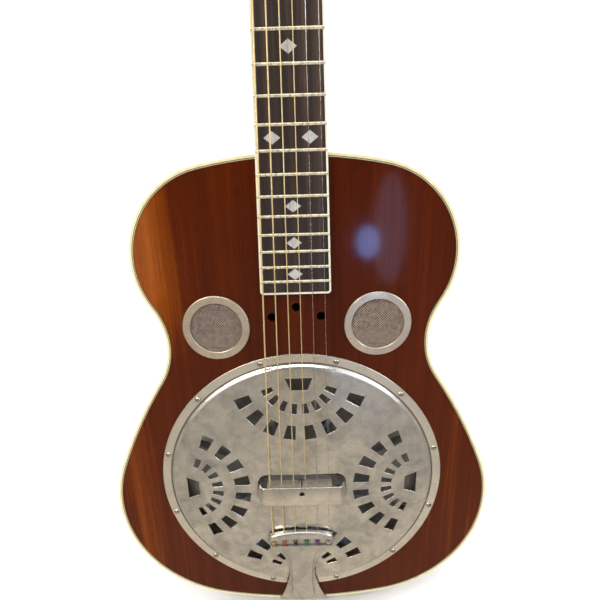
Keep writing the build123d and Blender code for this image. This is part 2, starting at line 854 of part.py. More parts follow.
def worm_thread():
    """The worm's helical thread about local Z, facing local +X at its middle."""
    pitch = pi * gear_module
    height = worm_turns * pitch
    root = worm_core_radius - 0.3
    tip = worm_pitch_radius + 0.75
    half_pitch_line = pitch / 4 - mesh_gap / 2
    slope = tan(radians(20))
    root_half = half_pitch_line + (worm_pitch_radius - root) * slope
    tip_half = half_pitch_line - (tip - worm_pitch_radius) * slope
    path = Helix(pitch, height, root)
    section = polygon([(0, -root_half), (0, root_half), (tip - root, tip_half), (tip - root, -tip_half)])
    start = Plane(origin=(root, 0, 0), x_dir=(1, 0, 0), z_dir=(0, -1, 0))
    thread = sweep(start * section, path=path, is_frenet=True)
    return Rot(0, 0, -180 * worm_turns) * Pos(0, 0, -height / 2) * thread


def key_shaft():
    """A tuner's key shaft about local Z: worm, journals in the ears and a stem to the button."""
    stem_end = -button_reach - post_depth + 12
    shaft = Cylinder(worm_core_radius, 10.0)
    shaft += Pos(0, 0, 6.1) * Cylinder(worm_shaft_radius, 2.2)
    shaft += Pos(0, 0, (stem_end - 5.0) / 2) * Cylinder(worm_shaft_radius, -5.0 - stem_end)
    shaft += Pos(0, 0, -7.6) * Cylinder(3.1, 1.0)
    return shaft + worm_thread()


def key_button():
    """An oval button on the stem's end, about local Z."""
    low = -button_reach - post_depth
    blank = Ellipse(9.0, 3.6)
    middle = Ellipse(9.6, 4.2)
    neck = Ellipse(3.6, 3.2)
    solid = loft([Pos(0, 0, low) * blank, Pos(0, 0, low + 7) * middle, Pos(0, 0, low + 18) * neck])
    solid = fillet(solid.edges().sort_by(Axis.Z)[:1], 1.2)
    return solid - Pos(0, 0, low + 17) * Cylinder(worm_shaft_radius, 10)


def gear_profile():
    """Straight-flanked teeth that leave the worm's thread a small gap."""
    pitch_radius = gear_module * gear_teeth / 2
    tip = pitch_radius + 0.75
    root = pitch_radius - 1.1
    step = 2 * pi / gear_teeth
    tooth_half = step / 4 - mesh_gap / 2 / pitch_radius
    tip_half = tooth_half - 0.75 * tan(radians(20)) / pitch_radius
    root_half = tooth_half + 1.1 * tan(radians(20)) / pitch_radius
    corners = []
    for tooth in range(gear_teeth):
        centre = (tooth + 0.5) * step
        for radius, turn in ((root, -root_half), (tip, -tip_half), (tip, tip_half), (root, root_half)):
            corners.append((radius * cos(centre + turn), radius * sin(centre + turn)))
    return polygon(corners)


def string_post():
    """A string post about local Z, which points outwards: journal, roller and worm wheel."""
    outer = gear_x + gear_thickness / 2
    post = Pos(0, 0, (1.4 + outer) / 2) * Cylinder(post_radius, outer - 1.4)
    low = slot_centre - slot_half_width + 0.4
    high = slot_centre + slot_half_width - 0.4
    post += Pos(0, 0, (low + high) / 2) * Cylinder(roller_radius, high - low)
    twist = degrees(gear_thickness * tan(atan(gear_module / (2 * worm_pitch_radius))) * 2
                    / (gear_module * gear_teeth))
    wheel_face = Rot(0, 0, -twist / 2) * gear_profile()
    wheel = Solid.extrude_linear_with_rotation(
        wheel_face.face(), Vector(0, 0, 0), Vector(0, 0, gear_thickness), twist)
    wheel = Pos(0, 0, outer - gear_thickness) * wheel
    screw = Pos(0, 0, outer + 0.7) * Cylinder(2.4, 1.4)
    eye = Rot(90, 0, 0) * Cylinder(0.9, 20)
    return post + wheel + screw - Pos(0, 0, (low + high) / 2) * eye


def key_place(u):
    """Where the treble side's worm sits: local Z along the headstock's normal, X towards the wheel."""
    plane = Plane(origin=head_point(gear_x, u - worm_offset, post_depth),
                  x_dir=head_plane.y_dir, z_dir=head_plane.z_dir)
    return plane.location


def post_place(u):
    """Where the treble side's post sits: local Z outwards, X towards the worm."""
    origin = head_point(0, u, post_depth)
    return Plane(origin=origin, x_dir=-head_plane.y_dir, z_dir=(1, 0, 0)).location


def tuners():
    """Key shafts, buttons and posts, numbered from the bass side's first string outwards."""
    shaft, button, post = key_shaft(), key_button(), string_post()
    nodes = {}
    for row, u in enumerate(post_positions):
        placed = {"key_shaft": key_place(u) * shaft, "key_button": key_place(u) * button,
                  "string_post": post_place(u) * post}
        for name, shape in placed.items():
            nodes[f"{name}_{row + 1}"] = shape
            nodes[f"{name}_{6 - row}"] = mirror(shape, Plane.YZ)
    return nodes


def build():
    nodes = {
        "soundboard": soundboard(),
        "back_plate": back_plate(),
        "side_rim": side_rim(),
        "top_binding": top_binding(),
        "back_binding": back_binding(),
        "top_purfling_dark": Compound(purfling(0, 1).solids() + purfling(2, 3).solids()),
        "top_purfling_light": purfling(1, 2),
        "linings": linings(),
        "neck_block": neck_block(),
        "tail_block": tail_block(),
        "top_braces": top_braces(),
        "back_braces": back_braces(),
        "soundwell": soundwell(),
        "resonator_cone": resonator_cone(),
        "spider_bridge": spider_bridge(),
        "saddles": saddles(),
        "tension_screw": tension_screw(),
        "coverplate": coverplate(),
        "coverplate_screws": coverplate_screws(),
        "handrest": handrest(),
        "screen_rings": screen_rings(),
        "screen_meshes": screen_meshes(),
        "tailpiece": tailpiece(),
        "tailpiece_screws": tailpiece_screws(),
        "end_pin": end_pin(),
        "neck": neck(),
        "neck_stick": neck_stick(),
        "heel_cap": heel_cap(),
        "fingerboard": fingerboard(),
        "fingerboard_binding": fingerboard_binding(),
        "frets": frets(),
        "position_inlays": Compound(inlays().solids()),
        "nut": nut(),
        "headstock_veneer": headstock_veneer(),
        "tuner_plate_bass": tuner_plate(-1),
        "tuner_plate_treble": tuner_plate(1),
        "tuner_screws": tuner_screws(),
        "wound_strings": strings(range(4)),
        "plain_strings": strings(range(4, 6)),
        "ball_ends": ball_ends(),
    }
    nodes.update(tuners())
    os.makedirs("parts", exist_ok=True)
    for name, shape in nodes.items():
        export_step(shape, f"parts/{name}.step")


if __name__ == "__main__":
    build()
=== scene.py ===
import json
from math import cos, pi, radians, sin

import bpy
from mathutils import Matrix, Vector


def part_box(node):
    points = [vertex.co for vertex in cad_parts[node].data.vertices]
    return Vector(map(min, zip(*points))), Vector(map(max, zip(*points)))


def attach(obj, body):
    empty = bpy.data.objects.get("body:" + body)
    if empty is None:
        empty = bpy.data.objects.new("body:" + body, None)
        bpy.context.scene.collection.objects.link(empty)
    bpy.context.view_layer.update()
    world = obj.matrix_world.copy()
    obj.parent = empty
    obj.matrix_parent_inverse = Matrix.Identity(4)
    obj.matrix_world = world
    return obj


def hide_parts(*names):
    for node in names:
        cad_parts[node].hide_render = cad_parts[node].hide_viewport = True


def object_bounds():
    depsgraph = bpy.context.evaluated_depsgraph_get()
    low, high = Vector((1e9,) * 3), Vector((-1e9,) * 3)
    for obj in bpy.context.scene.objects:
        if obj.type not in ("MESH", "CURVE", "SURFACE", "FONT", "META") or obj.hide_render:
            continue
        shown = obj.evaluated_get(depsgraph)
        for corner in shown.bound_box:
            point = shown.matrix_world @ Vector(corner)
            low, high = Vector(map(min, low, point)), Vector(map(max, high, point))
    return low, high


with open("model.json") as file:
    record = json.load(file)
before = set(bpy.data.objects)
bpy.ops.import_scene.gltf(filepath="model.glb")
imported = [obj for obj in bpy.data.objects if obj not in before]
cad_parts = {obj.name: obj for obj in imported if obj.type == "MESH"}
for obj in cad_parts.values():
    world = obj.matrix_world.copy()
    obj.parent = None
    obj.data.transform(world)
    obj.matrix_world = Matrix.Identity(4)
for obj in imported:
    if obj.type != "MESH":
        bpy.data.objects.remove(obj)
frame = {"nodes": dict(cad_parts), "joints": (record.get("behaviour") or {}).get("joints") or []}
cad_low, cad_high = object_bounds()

nodes = frame["nodes"]
joints = {joint["name"]: joint for joint in frame["joints"]}

# Places and sizes worked out from the frame, in metres
cover_low, cover_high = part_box("coverplate")
cover_centre = (cover_low + cover_high) / 2
mesh_low, mesh_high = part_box("screen_meshes")
mesh_radius = (mesh_high.z - mesh_low.z) / 2
mesh_x = mesh_high.x - mesh_radius
mesh_y = (mesh_low.y + mesh_high.y) / 2
mesh_z = (mesh_low.z + mesh_high.z) / 2

# Rings of the coverplate, as distances from its axis: the rolled bead, the groove round it, the flat flange
BEAD = (0.1262, 0.1288)
GROOVE = (0.1292, 0.1306)
FLANGE = (0.1306, 0.16)
# Half the width of the strip under the strings that hands keep polished, and where it has faded out
HAND_STRIP = (0.024, 0.034)


# Shader helpers

class Nodes:
    """Adds shader nodes to one node tree and links them."""

    def __init__(self, tree):
        self.tree = tree

    def add(self, kind, inputs, **settings):
        node = self.tree.nodes.new(kind)
        for key, value in settings.items():
            setattr(node, key, value)
        for key, value in inputs.items():
            if isinstance(value, bpy.types.NodeSocket):
                self.tree.links.new(value, node.inputs[key])
            else:
                node.inputs[key].default_value = value
        return node

    def maths(self, operation, a, b=0.0, clamp=False):
        return self.add("ShaderNodeMath", {0: a, 1: b}, operation=operation, use_clamp=clamp).outputs[0]

    def spread(self, value, low, high, new_low=0.0, new_high=1.0):
        """Moves the range from low to high onto a new range, and holds it there beyond its ends."""
        inputs = {"Value": value, "From Min": low, "From Max": high, "To Min": new_low, "To Max": new_high}
        return self.add("ShaderNodeMapRange", inputs).outputs["Result"]

    def ramp(self, value, *stops, interpolation="LINEAR"):
        node = self.add("ShaderNodeValToRGB", {"Fac": value})
        node.color_ramp.interpolation = interpolation
        points = node.color_ramp.elements
        while len(points) < len(stops):
            points.new(0.5)
        for point, (where, colour) in zip(points, stops):
            point.position = where
            point.color = (*colour, 1)
        return node.outputs["Color"]

    def mix(self, factor, a, b):
        """Colour a where the factor is 0 and colour b where it is 1."""
        node = self.tree.nodes.new("ShaderNodeMix")
        node.data_type = "RGBA"
        for key, value in ((0, factor), (6, a), (7, b)):
            if isinstance(value, bpy.types.NodeSocket):
                self.tree.links.new(value, node.inputs[key])
            else:
                node.inputs[key].default_value = value if key == 0 else (*value, 1)
        return node.outputs[2]


class Paint(Nodes):
    """One procedural material, built node by node around a Principled shader."""

    def __init__(self, name):
        self.material = bpy.data.materials.new(name)
        self.material.use_nodes = True
        super().__init__(self.material.node_tree)
        self.shader = self.tree.nodes["Principled BSDF"]
        self.place = self.tree.nodes.new("ShaderNodeTexCoord").outputs["Object"]

    def fixed(self, **values):
        for name, value in values.items():
            self.shader.inputs[name.replace("_", " ")].default_value = value

    def drive(self, socket, output):
        self.tree.links.new(output, self.shader.inputs[socket])

    def stretched(self, x, y, z, shift=(0, 0, 0), turn=(0, 0, 0)):
        node = self.add("ShaderNodeMapping", {"Vector": self.place, "Scale": (x, y, z),
                                              "Location": shift, "Rotation": turn})
        return node.outputs["Vector"]

    def noise(self, vector, scale=1.0, detail=4.0, rough=0.55, twist=0.0):
        inputs = {"Vector": vector, "Scale": scale, "Detail": detail, "Roughness": rough, "Distortion": twist}
        return self.add("ShaderNodeTexNoise", inputs).outputs["Fac"]

    def cells(self, vector, scale):
        return self.add("ShaderNodeTexVoronoi", {"Vector": vector, "Scale": scale}).outputs["Distance"]

    def axis(self, name):
        return self.add("ShaderNodeSeparateXYZ", {"Vector": self.place}).outputs[name]

    def bump(self, height, distance, strength=1.0, under=None):
        inputs = {"Height": height, "Distance": distance, "Strength": strength}
        if under is not None:
            inputs["Normal"] = under
        return self.add("ShaderNodeBump", inputs).outputs["Normal"]

    def from_cover_axis(self):
        """The distance from the coverplate's axis."""
        centred = self.add("ShaderNodeVectorMath", {0: self.place, 1: tuple(cover_centre)},
                           operation="SUBTRACT").outputs["Vector"]
        flat = self.add("ShaderNodeVectorMath", {0: centred, 1: (1, 0, 1)},
                        operation="MULTIPLY").outputs["Vector"]
        return self.add("ShaderNodeVectorMath", {0: flat}, operation="LENGTH").outputs["Value"]

    def cover_band(self, ring, fade):
        """1 between a ring's two radii around the coverplate's axis."""
        inner, outer = ring
        radius = self.from_cover_axis()
        rise = self.spread(radius, inner - fade, inner + fade)
        return self.maths("MULTIPLY", rise, self.spread(radius, outer + fade, outer - fade))

    def occlusion_shade(self, distance):
        """How closed in a place is: near 1 in corners and under other pieces, where painted shade goes."""
        open_sky = self.add("ShaderNodeAmbientOcclusion", {"Distance": distance}, samples=6).outputs["AO"]
        return self.spread(open_sky, 0.92, 0.35, 0.0, 0.9)

    def edges(self, radius):
        """How far the bevelled normal turns from the true one: near 1 along edges."""
        bevel = self.add("ShaderNodeBevel", {"Radius": radius}, samples=8).outputs["Normal"]
        true = self.add("ShaderNodeNewGeometry", {}).outputs["Normal"]
        dot = self.add("ShaderNodeVectorMath", {0: bevel, 1: true}, operation="DOT_PRODUCT").outputs["Value"]
        return self.spread(dot, 1.0, 0.8)


# Materials

def lacquered_wood(name, dark, middle, light, painted_light_bout=False, figure=1.0):
    """Stained wood with long grain, dark pores and a thick gloss lacquer.

    With this option the top is darker along its middle and grows lighter towards the bass side of the upper
    bout, a painted reflection of light.
    """
    p = Paint(name)
    bands = p.noise(p.stretched(24, 24, 0.9, (3.1, 0.4, 0.7)), detail=3, twist=0.4)
    stripes = p.noise(p.stretched(150, 150, 2.2), detail=4, rough=0.6)
    grain = p.noise(p.stretched(1100, 1100, 14), detail=3, rough=0.65)
    pores = p.noise(p.stretched(2600, 2600, 75), detail=2, rough=0.5)
    tone = p.maths("ADD", p.maths("MULTIPLY", bands, 0.28), p.maths("MULTIPLY", stripes, 0.22))
    tone = p.maths("ADD", tone, 0.23)
    # Darker along the middle of the top; the bass side of the upper bout is painted lighter, a painted
    # reflection of light falling there.
    if painted_light_bout:
        side = p.axis("X")
        edge = p.spread(p.maths("ABSOLUTE", side), 0.03, 0.15, -0.06, 0.02)
        drift = p.spread(p.noise(p.stretched(9, 9, 5), detail=2), 0.3, 0.7, -0.02, 0.02)
        left = p.spread(p.maths("ADD", side, drift), -0.06, -0.125, 0.0, 0.17)
        upper = p.spread(p.axis("Z"), -0.50, -0.42, 0.08, 1.0)
        tone = p.maths("ADD", tone, p.maths("ADD", edge, p.maths("MULTIPLY", left, upper)))
    colour = p.ramp(tone, (0.30, dark), (0.50, middle), (0.68, light))
    colour = p.mix(p.spread(grain, 0.35, 0.70, 0.0, 0.42 * figure), colour, tuple(c * 0.35 for c in dark))
    fleck = p.spread(pores, 0.60, 0.72, 0.0, 0.75 * figure)
    colour = p.mix(fleck, colour, tuple(c * 0.2 for c in dark))
    p.drive("Base Color", colour)
    p.drive("Roughness", p.spread(grain, 0.3, 0.7, 0.34, 0.5))
    waves = p.noise(p.place, 14, 2, 0.5)
    orange_peel = p.noise(p.place, 180, 2, 0.5)
    normal = p.bump(waves, 0.0012, 0.3)
    normal = p.bump(orange_peel, 0.00012, 0.25, normal)
    normal = p.bump(p.maths("ADD", grain, p.maths("MULTIPLY", pores, -0.7)), 0.00005, 0.35, normal)
    p.drive("Normal", normal)
    p.fixed(Specular_IOR_Level=0.04, Coat_Weight=0.32, Coat_IOR=1.5, Coat_Roughness=0.08)
    return p.material


def bare_wood(name, dark, light):
    """Unfinished spruce or maple inside the body."""
    p = Paint(name)
    grain = p.noise(p.stretched(420, 420, 9), detail=4, rough=0.6)
    fibre = p.noise(p.stretched(2600, 2600, 60), detail=2)
    colour = p.ramp(grain, (0.30, dark), (0.70, light))
    p.drive("Base Color", p.mix(p.spread(fibre, 0.5, 0.75, 0, 0.35), colour, tuple(c * 0.6 for c in dark)))
    p.drive("Roughness", p.spread(fibre, 0.3, 0.7, 0.55, 0.8))
    p.drive("Normal", p.bump(fibre, 0.00008, 0.5))
    return p.material


def rosewood():
    """Dark open-pored fingerboard, dry, with gloss that follows the grain."""
    p = Paint("rosewood")
    bands = p.noise(p.stretched(210, 210, 3.0), detail=4, rough=0.6, twist=0.3)
    grain = p.noise(p.stretched(1500, 1500, 22), detail=3, rough=0.6)
    pores = p.noise(p.stretched(2800, 2800, 110), detail=2)
    colour = p.ramp(bands, (0.32, (0.014, 0.007, 0.004)), (0.52, (0.036, 0.019, 0.011)),
                    (0.70, (0.078, 0.043, 0.026)))
    colour = p.mix(p.spread(grain, 0.35, 0.7, 0, 0.5), colour, (0.010, 0.006, 0.005))
    colour = p.mix(p.spread(pores, 0.6, 0.7, 0, 0.8), colour, (0.004, 0.003, 0.002))
    p.drive("Base Color", colour)
    p.drive("Roughness", p.spread(grain, 0.3, 0.7, 0.36, 0.55))
    p.drive("Normal", p.bump(p.maths("ADD", grain, p.maths("MULTIPLY", pores, -1.2)), 0.0001, 0.5))
    return p.material


def worn_nickel(name, light, dark, haze=1.0, smooth=0.24, rough=0.50, coverplate=False):
    """Old nickel plate: cloudy oxide, wiped and scratched, brighter where hands polish it, with painted
    highlights on edges and painted shade in corners.
    """
    p = Paint(name)
    clouds = p.noise(p.stretched(34, 34, 34, (0.7, 0.2, 0.4)), detail=6, rough=0.62, twist=0.6)
    blotches = p.noise(p.stretched(120, 120, 120), detail=5, rough=0.65)
    specks = p.cells(p.place, 900)
    scratches = p.noise(p.stretched(2400, 2400, 300, turn=(0, radians(35), 0)), detail=3)
    wiped = p.noise(p.stretched(60, 60, 200, turn=(0, radians(12), 0)), detail=3)
    tone = p.maths("ADD", p.maths("MULTIPLY", clouds, 0.65), p.maths("MULTIPLY", blotches, 0.35))
    colour = p.ramp(tone, (0.34, dark), (0.56, light), (0.75, tuple(min(1, c * 1.12) for c in light)))
    tarnish = tuple(c * k for c, k in zip(dark, (0.62, 0.55, 0.45)))
    colour = p.mix(p.spread(specks, 0.16, 0.02, 0.0, 0.5 * haze), colour, tarnish)
    edge_wear_and_highlight = p.edges(0.0008)
    # Painted shade: corners and places under other pieces are painted darker.
    colour = p.mix(p.occlusion_shade(0.004), colour, tuple(c * 0.2 for c in dark))
    # Painted highlight: the edges are painted lighter, as if they caught the light; in the roughness the same
    # mask smooths them, for wear.
    colour = p.mix(p.maths("MULTIPLY", edge_wear_and_highlight, 0.5), colour, (0.86, 0.83, 0.77))
    if coverplate:
        # Painted light on the rolled edge of the coverplate: a painted highlight on the bead, painted shade
        # in the groove round it, and the flat flange painted lighter.
        flange = p.maths("MULTIPLY", p.cover_band(FLANGE, 0.0004), 0.6)
        colour = p.mix(p.cover_band(GROOVE, 0.0006), colour, tuple(c * 0.35 for c in dark))
        colour = p.mix(p.cover_band(BEAD, 0.0008), colour, (0.82, 0.78, 0.70))
        colour = p.mix(flange, colour, (0.95, 0.88, 0.75))
    p.drive("Base Color", colour)
    gloss = p.spread(tone, 0.35, 0.65, rough, smooth)
    gloss = p.maths("ADD", gloss, p.spread(wiped, 0.4, 0.7, -0.04, 0.06))
    if coverplate:
        strip = p.spread(p.maths("ABSOLUTE", p.axis("X")), *HAND_STRIP, 1.0, 0.0)
        gloss = p.maths("SUBTRACT", gloss, p.maths("MULTIPLY", strip, 0.20), clamp=True)
    gloss = p.maths("SUBTRACT", gloss, p.maths("MULTIPLY", edge_wear_and_highlight, 0.12))
    p.drive("Roughness", p.maths("MAXIMUM", gloss, 0.07))
    dents = p.noise(p.place, 26, 3, 0.5)
    rounded = p.add("ShaderNodeBevel", {"Radius": 0.0010}, samples=6).outputs["Normal"]
    normal = p.bump(dents, 0.0016, 0.25, rounded)
    marks = p.maths("ADD", scratches, p.maths("MULTIPLY", specks, 0.6))
    p.drive("Normal", p.bump(marks, 0.00003, 0.15 * haze, normal))
    p.fixed(Metallic=0.85)
    return p.material


def polished_metal(name, colour, dark, rough=0.2, metallic=1.0):
    """Plain plated or drawn metal with fine wear."""
    p = Paint(name)
    film = p.noise(p.place, 260, 5, 0.6)
    fine = p.noise(p.stretched(3200, 3200, 3200), detail=2)
    p.drive("Base Color", p.ramp(film, (0.35, dark), (0.65, colour)))
    p.drive("Roughness", p.spread(film, 0.35, 0.7, rough, rough + 0.18))
    p.drive("Normal", p.bump(fine, 0.00002, 0.35))
    p.fixed(Metallic=metallic)
    return p.material


def spun_aluminium():
    """The cone: fine rings left by spinning."""
    p = Paint("spun_aluminium")
    outward = p.add("ShaderNodeCombineXYZ", {"X": p.from_cover_axis()}).outputs["Vector"]
    rings = p.noise(outward, 1800, 3, 0.6)
    p.drive("Base Color", p.ramp(rings, (0.3, (0.62, 0.62, 0.62)), (0.7, (0.88, 0.87, 0.86))))
    p.drive("Roughness", p.spread(rings, 0.3, 0.7, 0.3, 0.48))
    p.drive("Normal", p.bump(rings, 0.00012, 0.5))
    p.fixed(Metallic=1.0)
    return p.material


def cast_aluminium():
    """The spider: a dull sand-cast skin."""
    p = Paint("cast_aluminium")
    sand = p.noise(p.place, 900, 4, 0.6)
    p.drive("Base Color", p.ramp(sand, (0.3, (0.30, 0.30, 0.30)), (0.7, (0.48, 0.48, 0.48))))
    p.drive("Roughness", p.spread(sand, 0.3, 0.7, 0.42, 0.62))
    p.drive("Normal", p.bump(sand, 0.00025, 0.7))
    p.fixed(Metallic=1.0)
    return p.material


def aged_plastic(name, light, dark, rough=0.3):
    """Yellowed celluloid with faint streaks along its length and patches of grime."""
    p = Paint(name)
    streaks = p.noise(p.stretched(160, 160, 12), detail=4, rough=0.6)
    grime = p.noise(p.place, 300, 5, 0.7)
    colour = p.ramp(streaks, (0.3, dark), (0.7, light))
    colour = p.mix(p.spread(grime, 0.58, 0.8, 0.0, 0.45), colour, tuple(c * 0.55 for c in dark))
    p.drive("Base Color", colour)
    p.drive("Roughness", p.spread(grime, 0.3, 0.7, rough - 0.06, rough + 0.12))
    p.drive("Normal", p.bump(grime, 0.00003, 0.3))
    p.fixed(Coat_Weight=0.35, Coat_Roughness=0.12, Subsurface_Weight=0.05, Subsurface_Scale=0.002)
    return p.material


def pearl():
    """Grey-white shell with silky patches."""
    p = Paint("pearl")
    layers = p.noise(p.stretched(260, 260, 90), detail=3, rough=0.5, twist=1.6)
    colour = p.ramp(layers, (0.30, (0.38, 0.36, 0.33)), (0.50, (0.60, 0.58, 0.53)),
                    (0.70, (0.50, 0.52, 0.50)))
    p.drive("Base Color", colour)
    p.drive("Roughness", p.spread(layers, 0.3, 0.7, 0.16, 0.3))
    p.fixed(Metallic=0.2, Coat_Weight=0.6, Coat_Roughness=0.08)
    return p.material


def wound_bronze():
    """Bronze wrap wire: the windings show as fine rings across the string, with painted shade between the
    turns and a painted highlight on them.
    """
    p = Paint("wound_bronze")
    wrap = p.add("ShaderNodeTexWave", {"Vector": p.place, "Scale": 550.0, "Distortion": 0.0},
                 wave_type="BANDS", bands_direction="Z").outputs["Fac"]
    film = p.noise(p.stretched(200, 200, 60), detail=3)
    # Painted light: each turn of wire is painted bright on its crest and dark where it meets the next.
    colour = p.ramp(wrap, (0.0, (0.45, 0.29, 0.11)), (0.6, (0.98, 0.80, 0.42)))
    p.drive("Base Color", p.mix(p.spread(film, 0.4, 0.7, 0.0, 0.4), colour, (0.55, 0.40, 0.20)))
    p.drive("Roughness", p.spread(film, 0.3, 0.7, 0.24, 0.4))
    p.drive("Normal", p.bump(wrap, 0.0001, 0.6))
    p.fixed(Metallic=0.55)
    return p.material


def coloured_balls():
    """Six lacquered ball ends, one colour for each string."""
    p = Paint("coloured_balls")
    low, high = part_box("ball_ends")
    place = p.spread(p.axis("X"), low.x, high.x)
    colours = [(0.62, 0.40, 0.13), (0.62, 0.035, 0.02), (0.012, 0.012, 0.014), (0.01, 0.28, 0.12),
               (0.20, 0.07, 0.30), (0.55, 0.55, 0.56)]
    stops = [(n / 6, colour) for n, colour in enumerate(colours)]
    film = p.noise(p.place, 700, 3)
    colour = p.ramp(place, *stops, interpolation="CONSTANT")
    p.drive("Base Color", p.mix(p.spread(film, 0.45, 0.75, 0, 0.35), colour, (0.35, 0.32, 0.28)))
    p.drive("Roughness", p.spread(film, 0.3, 0.7, 0.16, 0.3))
    p.fixed(Metallic=0.75, Coat_Weight=0.5, Coat_Roughness=0.1)
    return p.material


DARK_MAHOGANY = (0.030, 0.0028, 0.0002)
MID_MAHOGANY = (0.092, 0.0130, 0.0004)
LIGHT_MAHOGANY = (0.33, 0.072, 0.0020)
NICKEL = (0.68, 0.65, 0.58)
OLD_NICKEL = (0.39, 0.375, 0.325)

top_wood = lacquered_wood("mahogany_top", DARK_MAHOGANY, MID_MAHOGANY, LIGHT_MAHOGANY, painted_light_bout=True)
side_wood = lacquered_wood("mahogany_side", DARK_MAHOGANY, MID_MAHOGANY, LIGHT_MAHOGANY, figure=0.9)
neck_wood = lacquered_wood("mahogany_neck", DARK_MAHOGANY, MID_MAHOGANY, LIGHT_MAHOGANY, figure=0.8)
veneer_wood = lacquered_wood("rosewood_veneer", (0.008, 0.004, 0.003), (0.022, 0.010, 0.006),
                             (0.05, 0.022, 0.012))
inner_wood = bare_wood("bare_wood", (0.30, 0.17, 0.075), (0.48, 0.30, 0.15))
maple = bare_wood("maple", (0.24, 0.20, 0.155), (0.36, 0.31, 0.25))
plate_nickel = worn_nickel("plate_nickel", NICKEL, OLD_NICKEL, coverplate=True)
tail_nickel = worn_nickel("tail_nickel", (0.66, 0.63, 0.57), (0.44, 0.42, 0.37), haze=0.4,
                           smooth=0.26, rough=0.42)
ring_nickel = worn_nickel("ring_nickel", (0.80, 0.69, 0.54), (0.60, 0.50, 0.38), haze=0.6)
strap_nickel = worn_nickel("strap_nickel", (0.74, 0.69, 0.59), (0.55, 0.51, 0.43), haze=0.4,
                            smooth=0.16, rough=0.28)
screw_nickel = polished_metal("screw_nickel", (0.70, 0.67, 0.61), (0.45, 0.42, 0.37), 0.18)
tuner_nickel = polished_metal("tuner_nickel", (0.52, 0.50, 0.46), (0.36, 0.345, 0.31), 0.36)
screw_steel = polished_metal("screw_steel", (0.50, 0.50, 0.51), (0.33, 0.33, 0.34), 0.25)
fret_metal = polished_metal("fret_metal", (0.95, 0.86, 0.62), (0.74, 0.65, 0.46), 0.2, 0.6)
plain_steel = polished_metal("plain_steel", (0.70, 0.66, 0.60), (0.50, 0.46, 0.42), 0.16, 0.8)
mesh_wire = polished_metal("mesh_wire", (0.56, 0.45, 0.37), (0.34, 0.26, 0.21), 0.35, 0.6)
binding = aged_plastic("binding", (0.80, 0.74, 0.44), (0.66, 0.57, 0.30))
board_binding = aged_plastic("board_binding", (0.82, 0.78, 0.62), (0.68, 0.62, 0.44))
light_line = aged_plastic("light_line", (0.62, 0.52, 0.30), (0.48, 0.38, 0.20))
dark_line = aged_plastic("dark_line", (0.016, 0.010, 0.008), (0.008, 0.005, 0.004))
bone = aged_plastic("bone", (0.80, 0.75, 0.62), (0.68, 0.60, 0.45))
button_plastic = aged_plastic("button_plastic", (0.78, 0.70, 0.50), (0.62, 0.52, 0.33), 0.22)

finishes = {
    "soundboard": top_wood, "back_plate": side_wood, "side_rim": side_wood, "top_binding": binding,
    "back_binding": binding, "top_purfling_dark": dark_line, "top_purfling_light": light_line,
    "linings": inner_wood, "neck_block": inner_wood, "tail_block": inner_wood, "top_braces": inner_wood,
    "back_braces": inner_wood, "soundwell": inner_wood, "neck_stick": inner_wood,
    "resonator_cone": spun_aluminium(), "spider_bridge": cast_aluminium(), "saddles": maple,
    "tension_screw": screw_steel, "coverplate": plate_nickel, "coverplate_screws": screw_nickel,
    "handrest": strap_nickel, "screen_rings": ring_nickel, "tailpiece": tail_nickel,
    "tailpiece_screws": screw_nickel, "end_pin": screw_nickel, "neck": neck_wood, "heel_cap": bone,
    "fingerboard": rosewood(), "fingerboard_binding": board_binding, "frets": fret_metal,
    "position_inlays": pearl(), "nut": bone, "headstock_veneer": veneer_wood,
    "tuner_plate_bass": tuner_nickel, "tuner_plate_treble": tuner_nickel,
    "tuner_screws": screw_steel,
    "wound_strings": wound_bronze(), "plain_strings": plain_steel, "ball_ends": coloured_balls(),
}
for number in range(1, 7):
    finishes[f"key_shaft_{number}"] = tuner_nickel
    finishes[f"key_button_{number}"] = button_plastic
    finishes[f"string_post_{number}"] = tuner_nickel
for name, material in finishes.items():
    for slot in nodes[name].material_slots:
        slot.material = material


# Wire cloth and turns of string

def new_piece(name, points, faces, material, body="guitar"):
    """A mesh object that rides on a body."""
    mesh = bpy.data.meshes.new(name)
    mesh.from_pydata(points, [], faces)
    mesh.polygons.foreach_set("use_smooth", [True] * len(mesh.polygons))
    mesh.materials.append(material)
    mesh.update()
    piece = bpy.data.objects.new(name, mesh)
    bpy.context.scene.collection.objects.link(piece)
    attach(piece, body)
    return piece


def tube(points, faces, path, radius, sides, beside):
    """Adds a round tube with closed ends along a list of points; the path never runs along beside."""
    first = len(points)
    for n, here in enumerate(path):
        along = (path[min(n + 1, len(path) - 1)] - path[max(n - 1, 0)]).normalized()
        across = along.cross(beside).normalized()
        up = across.cross(along)
        for k in range(sides):
            angle = 2 * pi * k / sides
            points.append(here + radius * (across * cos(angle) + up * sin(angle)))
    for n in range(len(path) - 1):
        row = first + n * sides
        for k in range(sides):
            other = (k + 1) % sides
            faces.append((row + k, row + sides + k, row + sides + other, row + other))
    last = first + (len(path) - 1) * sides
    faces.append(tuple(range(first, first + sides)))
    faces.append(tuple(range(last + sides - 1, last - 1, -1)))


WIRE_PITCH = 0.0016
WIRE_RADIUS = 0.00034
WIRE_WEAVE = 0.55 * WIRE_RADIUS


